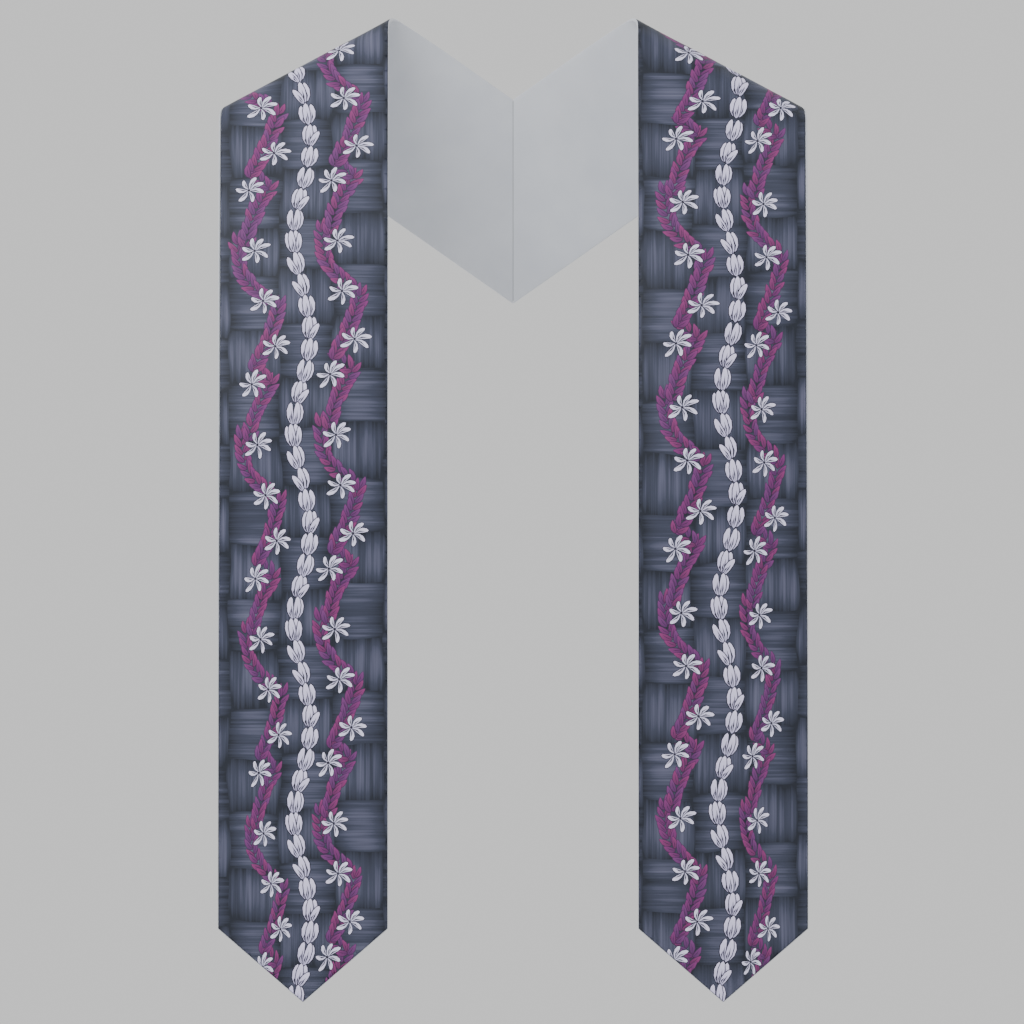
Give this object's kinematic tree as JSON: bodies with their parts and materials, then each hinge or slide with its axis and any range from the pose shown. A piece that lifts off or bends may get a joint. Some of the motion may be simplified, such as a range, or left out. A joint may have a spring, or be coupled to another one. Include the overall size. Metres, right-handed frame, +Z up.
{
  "type": "graduation stole",
  "caption": "Worn graduation stole: printed satin bands with pointed ends, folded over the shoulders and mitred behind the neck, with a pale lining.",
  "frame": {"origin": "middle of the neck opening, level with the neck edges where they top the shoulders", "axes": "+X to the stole's own left as worn, +Y to the back, +Z up"},
  "size_m": [0.4408, 0.214, 0.7355],
  "materials": {
    "printed_satin": "satin",
    "pale_lining": "satin"
  },
  "bodies": {
    "root": {"left_face": "printed_satin", "right_face": "printed_satin", "left_lining": "pale_lining", "right_lining": "pale_lining"}
  },
  "joints": []
}
